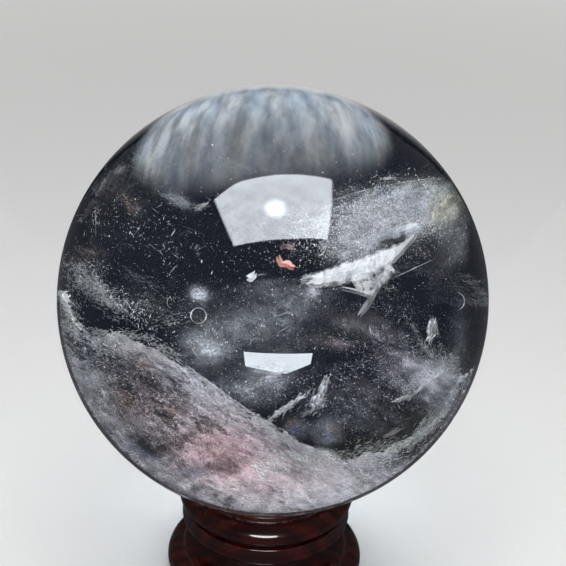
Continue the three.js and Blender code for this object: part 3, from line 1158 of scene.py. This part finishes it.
# single needles, as seen: from, to, depth at each end, girth in millimetres, tone
needles = [
    ((0.53, 0.090), (0.755, 0.195), 0.29, 0.24, 0.14, "white"),
    ((0.444, -0.115), (0.455, -0.160), 0.25, 0.25, 0.08, "white"),
    ((0.26, 0.454), (0.36, 0.492), 0.40, 0.40, 0.06, "white"),
    ((0.35, 0.490), (0.48, 0.522), 0.40, 0.40, 0.06, "white"),
    ((0.46, 0.520), (0.80, 0.565), 0.40, 0.34, 0.05, "mist"),
    ((-0.93, 0.255), (-0.85, 0.19), 0.25, 0.25, 0.03, "mist"),
    ((-0.45, 0.355), (-0.32, 0.305), 0.30, 0.30, 0.02, "mist"),
    ((-0.41, -0.295), (-0.205, -0.445), 0.56, 0.53, 0.14, "white"),
    ((-0.215, -0.438), (-0.06, -0.55), 0.55, 0.52, 0.10, "white"),
    ((-0.385, -0.20), (-0.345, -0.275), 0.40, 0.40, 0.08, "moss"),
    ((0.57, -0.115), (0.60, -0.07), 0.25, 0.25, 0.02, "mist"),
    ((0.02, -0.078), (0.075, -0.05), 0.35, 0.35, 0.08, "grey"),
    ((0.015, -0.155), (0.085, -0.115), 0.42, 0.42, 0.10, "mauve"),
]


def makeNeedles(bits):
    ends = np.array([row[:2] for row in needles])
    depths = np.array([row[2:4] for row in needles])
    points = inside(ends[..., 0], ends[..., 1], depths)
    girth = np.array([row[4] for row in needles]) * mm
    tone = np.array([tones[row[5]] for row in needles])
    makeHairs("needles", points[:, 0], points[:, 1], girth, tone, bits, longest=0.04)


# Fields of dust: soft patches as seen, a range of depth, how many, how large (millimetres) and
# how much of it lies evenly rather than in clumps, which are drawn out along "lie" (degrees).
dustFields = [
    {
        "name": "upper_veil_dust", "depth": (0.40, 0.44), "lie": 15,
        "count": 42000, "size": 0.037, "tone": "white", "even": 0.35,
        "marks": [(0.52, 0.37, 0.26, 0.10, 14, 1.0), (0.41, 0.27, 0.10, 0.07, 20, 0.9)],
    },
    {
        "name": "clear_zone_dust", "depth": (0.1, 0.6), "lie": -30,
        "count": 1500, "size": 0.042, "tone": "white", "even": 0.04,
        "marks": [(-0.45, 0.25, 0.42, 0.36, 0, 1.0), (0.0, 0.0, 0.8, 0.5, 0, 0.5)],
    },
    {
        "name": "lower_right_dust", "depth": (0.15, 0.6), "lie": -30,
        "count": 4600, "size": 0.036, "tone": "mist", "even": 0.04,
        "marks": [(0.35, -0.38, 0.36, 0.26, 0, 1.0), (0.62, -0.15, 0.12, 0.2, 40, 0.6)],
    },
    {
        "name": "left_wisp_dust", "depth": (0.25, 0.4), "lie": -30,
        "count": 5000, "size": 0.038, "tone": "white", "even": 0.0,
        "marks": [(-0.82, 0.07, 0.22, 0.09, -28, 1.0), (-0.50, -0.06, 0.22, 0.07, -25, 0.6)],
    },
    {
        "name": "mauve_veil_dust", "depth": (0.25, 0.35), "lie": -30,
        "count": 16000, "size": 0.034, "tone": "mist", "even": 0.3,
        "marks": [(0.68, -0.36, 0.18, 0.10, -38, 1.0), (0.80, -0.40, 0.06, 0.12, 0, 0.9)],
    },
    {
        "name": "fine_dust", "depth": (0.08, 0.7), "lie": -30,
        "count": 4500, "size": 0.028, "tone": "white", "even": 0.04,
        "marks": [(0.0, 0.0, 1.2, 1.2, 0, 0.5)],
    },
]


# Places drawn over the whole face are kept where the patches are, then thinned out between
# clumps, and each is given a depth in the field's range.
def makeDustFields(bits):
    for k, field in enumerate(dustFields):
        rng = np.random.default_rng(100 + k)
        across, up = rng.uniform(-0.98, 0.98, (2, field["count"] * 60))
        keep = rng.random(len(across)) < patches(across, up, field["marks"])
        clear = np.hypot((across - 0.02) / 0.17, (up + 0.285) / 0.07) > 1  # a clean window in the dust
        keep = np.flatnonzero(keep & clear & (np.hypot(across, up) < 0.96))[: field["count"] * 4]
        across, up = across[keep], up[keep]
        clumps = wisps(across, up, field["lie"], 0.07, 0.03, 110 + k)
        keep = rng.random(len(across)) < field["even"] + (1 - field["even"]) * clumps**1.5
        keep = np.flatnonzero(keep)[: field["count"]]
        across, up = across[keep], up[keep]
        near, far = field["depth"]
        deepest = np.where(np.hypot(across, up) > 0.8, np.minimum(far, 0.35), far)
        depth = near + (np.maximum(deepest, near) - near) * rng.random(len(across))
        points = inside(across, up, depth)
        makeDust(field["name"], points, field["size"] * mm, tones[field["tone"]], bits, 120 + k)


# thin hazes that stand alone: a box as seen (left, right, low, high), filled by soft patches
hazes = [
    {
        "name": "upper_veil", "box": (0.20, 0.93, 0.12, 0.62),
        "depth": (0.44, 0.38), "lie": 15, "even": 0.8,
        "marks": [(0.52, 0.38, 0.24, 0.10, 12, 0.32), (0.40, 0.27, 0.14, 0.07, 18, 0.22),
                  (0.80, 0.42, 0.07, 0.07, 40, 0.34), (0.85, 0.30, 0.06, 0.12, 0, 0.12),
                  (0.72, 0.52, 0.2, 0.03, 8, 0.2)],
        "tint": [("mauve", [(0.55, 0.34, 0.3, 0.10, 0, 0.6)]),
                 ("cream", [(0.82, 0.43, 0.10, 0.09, 30, 0.9)]),
                 ("moss", [(0.80, 0.52, 0.1, 0.05, 0, 0.7), (0.84, 0.28, 0.05, 0.1, 0, 0.5)]),
                 ("blue", [(0.50, 0.51, 0.05, 0.03, 0, 0.8), (0.68, 0.42, 0.04, 0.03, 0, 0.5)])],
    },
    {
        "name": "mauve_veil", "box": (0.10, 0.955, -0.68, 0.02),
        "depth": (0.30, 0.26), "lie": -38, "even": 0.5,
        "marks": [(0.67, -0.34, 0.14, 0.07, -22, 0.38), (0.785, -0.43, 0.075, 0.11, 5, 0.6),
                  (0.55, -0.20, 0.2, 0.05, -46, 0.13), (0.42, -0.14, 0.14, 0.05, -20, 0.10),
                  (0.28, -0.20, 0.07, 0.025, -8, 0.13), (0.42, -0.50, 0.24, 0.12, 0, 0.08),
                  (0.87, -0.25, 0.04, 0.16, 0, 0.12)],
        "tint": [("mauve", [(0.50, -0.22, 0.3, 0.16, -30, 0.9), (0.45, -0.45, 0.2, 0.1, 0, 0.7)]),
                 ("pink", [(0.28, -0.20, 0.08, 0.03, 0, 0.8)]),
                 ("moss", [(0.80, -0.28, 0.1, 0.06, 0, 0.5)]),
                 ("blue", [(0.85, -0.13, 0.05, 0.06, 0, 0.6), (0.36, -0.56, 0.16, 0.08, 0, 0.5)])],
    },
    {
        "name": "left_wisps", "box": (-0.975, -0.28, -0.14, 0.40),
        "depth": (0.32, 0.40), "lie": -30, "even": 0.1,
        "marks": [(-0.86, 0.08, 0.16, 0.035, -34, 0.10), (-0.78, 0.00, 0.16, 0.025, -30, 0.07),
                  (-0.92, 0.14, 0.08, 0.04, -45, 0.09), (-0.50, -0.05, 0.14, 0.05, -25, 0.08),
                  (-0.84, 0.20, 0.06, 0.05, 60, 0.16)],
        "tint": [("brown", [(-0.86, 0.21, 0.07, 0.05, 60, 0.8)])],
    },
    {
        "name": "brown_smear", "box": (-0.78, -0.28, 0.36, 0.56),
        "depth": (0.4, 0.4), "lie": -40, "even": 0.25,
        "marks": [(-0.67, 0.455, 0.05, 0.025, -50, 0.25), (-0.44, 0.465, 0.06, 0.025, -28, 0.14)],
        "tint": [("brown", [(-0.67, 0.455, 0.08, 0.05, -50, 1.0)])],
    },
    {
        "name": "middle_clouds", "box": (-0.56, 0.36, -0.62, 0.12),
        "depth": (0.62, 0.55), "lie": 0, "even": 0.8,
        "marks": [(-0.31, -0.24, 0.07, 0.055, 0, 0.30), (-0.34, 0.03, 0.035, 0.035, 0, 0.28),
                  (-0.2, -0.14, 0.2, 0.07, 15, 0.07), (-0.02, -0.36, 0.09, 0.05, 10, 0.42),
                  (-0.10, -0.42, 0.14, 0.07, 0, 0.08), (0.18, 0.035, 0.028, 0.025, 0, 0.32),
                  (0.04, 0.10, 0.12, 0.018, 8, 0.10), (0.15, -0.03, 0.10, 0.06, 0, 0.06),
                  (-0.05, -0.20, 0.26, 0.16, 0, 0.03), (0.05, 0.0, 0.26, 0.10, 10, 0.04)],
        "tint": [("mauve", [(0.18, 0.035, 0.05, 0.05, 0, 0.6), (0.04, 0.10, 0.1, 0.03, 0, 0.6)]),
                 ("blue", [(-0.35, 0.04, 0.05, 0.04, 0, 0.3)])],
    },
    {
        "name": "rainbow_patches", "box": (0.02, 0.36, -0.70, -0.50),
        "depth": (0.5, 0.5), "lie": 0, "even": 0.7,
        "marks": [(0.105, -0.595, 0.035, 0.03, -10, 0.75), (0.25, -0.605, 0.05, 0.04, 0, 0.6)],
        "tint": [("blue", [(0.11, -0.60, 0.04, 0.03, 0, 1.0), (0.235, -0.62, 0.04, 0.05, 0, 0.7)]),
                 ("salmon", [(0.085, -0.565, 0.035, 0.012, -15, 0.9), (0.27, -0.59, 0.04, 0.014, 10, 0.7)])],
    },
]


# Each is a sheet over its box, gently rippled in depth; even is how little the wisps break it up.
def makeHazes(mist, soft):
    for k, item in enumerate(hazes):
        left, right, low, high = item["box"]
        across, up = np.meshgrid(np.linspace(left, right, 150), np.linspace(low, high, 110), indexing="ij")
        place = np.stack([across, up, np.full_like(across, k)], axis=-1)
        share = (across - left) / (right - left)
        first, last = item["depth"]
        depth = first * (1 - share) + last * share + 0.08 * (roughNoise(place, 4.0, 150 + k) - 0.5)
        gap = np.minimum.reduce([across - left, right - across, up - low, high - up])
        gap = gap / min(right - left, high - low)
        haze = np.clip(patches(across, up, item["marks"]), 0, 1) * smooth(0, 0.1, gap)
        even = item["even"]
        haze = haze * (even + (1.35 - even) * wisps(across, up, item["lie"], 0.09, 0.04, 140 + k))
        tone = tinted(across, up, "mist", item["tint"])
        material = soft if even >= 0.5 else mist
        makeSheet(item["name"], inside(across, up, depth), haze, tone, material, lie=item["lie"])


# small round cracks, thin rings facing the viewer: across, up, radius, the arc's two ends in
# degrees, depth, girth in millimetres, tone
rings = [
    (-0.345, -0.072, 0.036, (0, 360), 0.30, 0.095, "white"),
    (-0.46, -0.01, 0.03, (110, 250), 0.30, 0.07, "mist"),
    (0.845, -0.005, 0.042, (-70, 80), 0.20, 0.12, "white"),
    (0.845, 0.18, 0.03, (120, 240), 0.20, 0.07, "mist"),
    (-0.075, -0.205, 0.03, (20, 220), 0.4, 0.04, "grey"),
]


# Each ring is a chain of overlapping hairs that follow the circle, thickest half way along.
def makeRings(bits):
    bundles = []
    steps = 64
    t = (np.arange(steps) + 0.5) / steps
    for x, y, radius, ends, depth, girth, label in rings:
        low, high = np.radians(ends)
        angles = [low + (high - low) * (t + side / steps) for side in (-0.9, 0.9)]
        points = [inside(x + radius * np.cos(angle), y + radius * np.sin(angle), depth) for angle in angles]
        closed = ends[1] - ends[0] >= 360
        girths = girth * mm * (np.ones(steps) if closed else np.sin(math.pi * t) ** 0.6)
        bundles.append((*points, girths, np.broadcast_to(tones[label], (steps, 3))))
    makeHairs("ring_cracks", *joined(bundles), bits)


standLow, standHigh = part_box("turned_stand")

# The turned outline, in millimetres from the axis and above the table. The foot, band and bead
# are mouldings; the waist is an ellipse: middle radius, middle height, half width, half height.
turning = {
    "bore": 8.0,
    "foot": (20, 2.8, 3.8, 2.3),
    "waist": (16.2, 10.1, 3.8, 2.9),
    "band": (17, 3.1, 14.6, 1.9),
    "bead": (17.6, 3.4, 19.8, 2.25),
    "around": 160,  # facets
}


# part of an ellipse about a middle, from one angle to another
def arc(r, z, wide, tall, start, end, steps):
    angle = np.radians(np.linspace(start, end, steps))
    return np.stack([r + wide * np.cos(angle), z + tall * np.sin(angle)], axis=-1)


# a rounded moulding: its face, how far it stands out, its middle height and half its height
def moulding(shape, start, end, steps):
    face, reach, height, tall = shape
    return arc(face - reach, height, reach, tall, start, end, steps)


# the ball's own circle, made larger by "outside", under the ball from one radius to another
def dishLine(outside, start, end, steps):
    r = np.linspace(start, end, steps)
    ball, middle = ballRadius / mm, ballCentre[2] / mm
    return np.stack([r, middle - np.sqrt((ball + outside) ** 2 - r**2)], axis=-1)


# rounds every corner of a closed outline: each side is cut at a quarter and at three quarters
def softened(outline, times):
    for _ in range(times):
        nextOnes = np.roll(outline, -1, axis=0)
        cuts = [outline * 0.75 + nextOnes * 0.25, outline * 0.25 + nextOnes * 0.75]
        outline = np.stack(cuts, axis=1).reshape(-1, 2)
    return outline


# An outline of radius and height carried once round the upright axis by the turn t: across is
# radius cos t and back is radius sin t. Both ways round it closes on itself. Jitter lumps it.
def turnedPiece(name, outline, around, material, jitter=0.0, seed=0):
    turn = np.arange(around) * 2 * math.pi / around
    r, z = outline[:, 0:1] * mm, outline[:, 1:2] * mm
    points = np.stack([r * np.cos(turn), r * np.sin(turn), z + 0 * turn], axis=-1)
    if jitter:
        lump = roughNoise(points, 900.0, seed, 3) - 0.5
        middle = np.array([0, 0, z.mean()])
        hub = unit(points * [1, 1, 0]) * r.mean() + middle
        points = points + unit(points - hub) * lump[..., None] * jitter
    rows = len(outline)
    i = np.arange(rows)[:, None]
    j = np.arange(around)[None, :]
    k = (j + 1) % around
    n = (i + 1) % rows
    faces = np.stack([i * around + j, i * around + k, n * around + k, n * around + j], axis=-1).reshape(-1, 4)
    return makeMesh(name, points, faces, material)


# The outline runs from the foot up the outside, over the rim, and down the dish and the bore.
# Where it bends out is an edge and where it bends in a hollow, which the lacquer shows.
def makeStand():
    bore = turning["bore"]
    base = standLow.z / mm
    outline = np.vstack(
        [
            [[bore + 0.5, base]],
            moulding(turning["foot"], -73, 84, 22),
            [[16.7, 6.3], [16.5, 7.0]],
            arc(*turning["waist"], 250, 112, 18),
            [[15.3, 12.7]],
            moulding(turning["band"], -58, 25, 9),
            arc(16.1, 16.6, 0.3, 0.3, 0, 90, 4),
            [[15.2, 17.1], [15.2, 17.5]],
            moulding(turning["bead"], -62, 86, 20),
            [[14.3, 22.9]],
            arc(14.4, 23.2, 0.5, 0.5, 0, 70, 5),
            [[12.9, standHigh.z / mm]],
            dishLine(1.4, 12.6, bore + 0.4, 8),
            [[bore, 22.1], [bore, base + 0.5]],
        ]
    )
    outline = softened(outline, 2)
    stand = turnedPiece("stand", outline, turning["around"], lacquerMaterial())
    before = outline - np.roll(outline, 1, axis=0)
    after = np.roll(outline, -1, axis=0) - outline
    bend = np.arctan2(before[:, 0] * after[:, 1] - before[:, 1] * after[:, 0], (before * after).sum(1))
    curve = bend / (np.linalg.norm(before, axis=1) + np.linalg.norm(after, axis=1)) * 2
    curve = (np.roll(curve, 1) + curve * 2 + np.roll(curve, -1)) / 4
    addAttribute(stand, "edge", np.repeat(smooth(0.6, 2.5, curve), turning["around"]))
    addAttribute(stand, "hollow", np.repeat(smooth(0.4, 2.0, -curve), turning["around"]))
    bpy.data.collections["litByStandLamp"].objects.link(stand)
    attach(stand, "stand")
    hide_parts("turned_stand")


# sizes in millimetres
felts = {
    "seatInner": 8.8, "seatOuter": 12.2, "seatThickness": 0.8,
    "seatDark": (0.012, 0.009, 0.008), "seatLight": (0.05, 0.04, 0.037),
    "padInner": 10.0, "padOuter": 18.0,
    "padDark": (0.015, 0.014, 0.013), "padLight": (0.06, 0.055, 0.052),
}


# the ring in the dish: its underside and its top both follow the ball's circle
def makeSeatFelt():
    inner, outer, thick = felts["seatInner"], felts["seatOuter"], felts["seatThickness"]
    outline = np.vstack([dishLine(0.3 + thick, inner, outer, 10), dishLine(0.26, outer, inner, 10)])
    black = feltMaterial("blackFelt", felts["seatDark"], felts["seatLight"])
    seat = turnedPiece("seat_felt", softened(outline, 2), 150, black, 0.00016, 5)
    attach(seat, "seat")
    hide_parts("seat_ring")


# the ring under the foot, flat above and below with rounded edges
def makeFootFelt():
    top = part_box("foot_pad")[1].z / mm
    inner, outer = felts["padInner"], felts["padOuter"]
    flat = np.linspace(inner + 0.4, outer - 0.4, 24)[:, None]
    under = np.hstack([flat, 0 * flat + 0.03])
    over = np.hstack([flat[::-1], 0 * flat + top])
    outside = [[outer, 0.45], [outer + 0.05, top * 0.6]]
    outline = np.vstack([under, outside, over, [[inner, top * 0.6], [inner, 0.45]]])
    grey = feltMaterial("greyFelt", felts["padDark"], felts["padLight"])
    pad = turnedPiece("foot_felt", softened(outline, 2), 170, grey, 0.00012, 6)
    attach(pad, "stand")
    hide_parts("foot_pad")


# light meets both skins of the ball and many sheets on its way through
scene.cycles.max_bounces = 24
scene.cycles.transmission_bounces = 16
scene.cycles.transparent_max_bounces = 64
scene.view_settings.view_transform = "Standard"

makeCamera()
makeFloor()
makeSoftbox()
makeStandLamp()
makePaintedReflectionCard()
makeRimCard()
makeSurround()
print("stage ready")
makeBall()
makeStand()
makeSeatFelt()
makeFootFelt()
print("ball, stand and felts ready")
mist, soft, frost = [hazeMaterial(name, **look) for name, look in hazeLooks.items()]
bits = bitMaterial()
makeGreatVeil(mist, bits)
print("great veil ready")
makeHazes(mist, soft)
makeFeathers(frost)
print("hazes and feathers ready")
makeTufts(bits)
makeNeedles(bits)
makeRings(bits)
makeDustFields(bits)
print("tufts, needles, rings and dust ready")
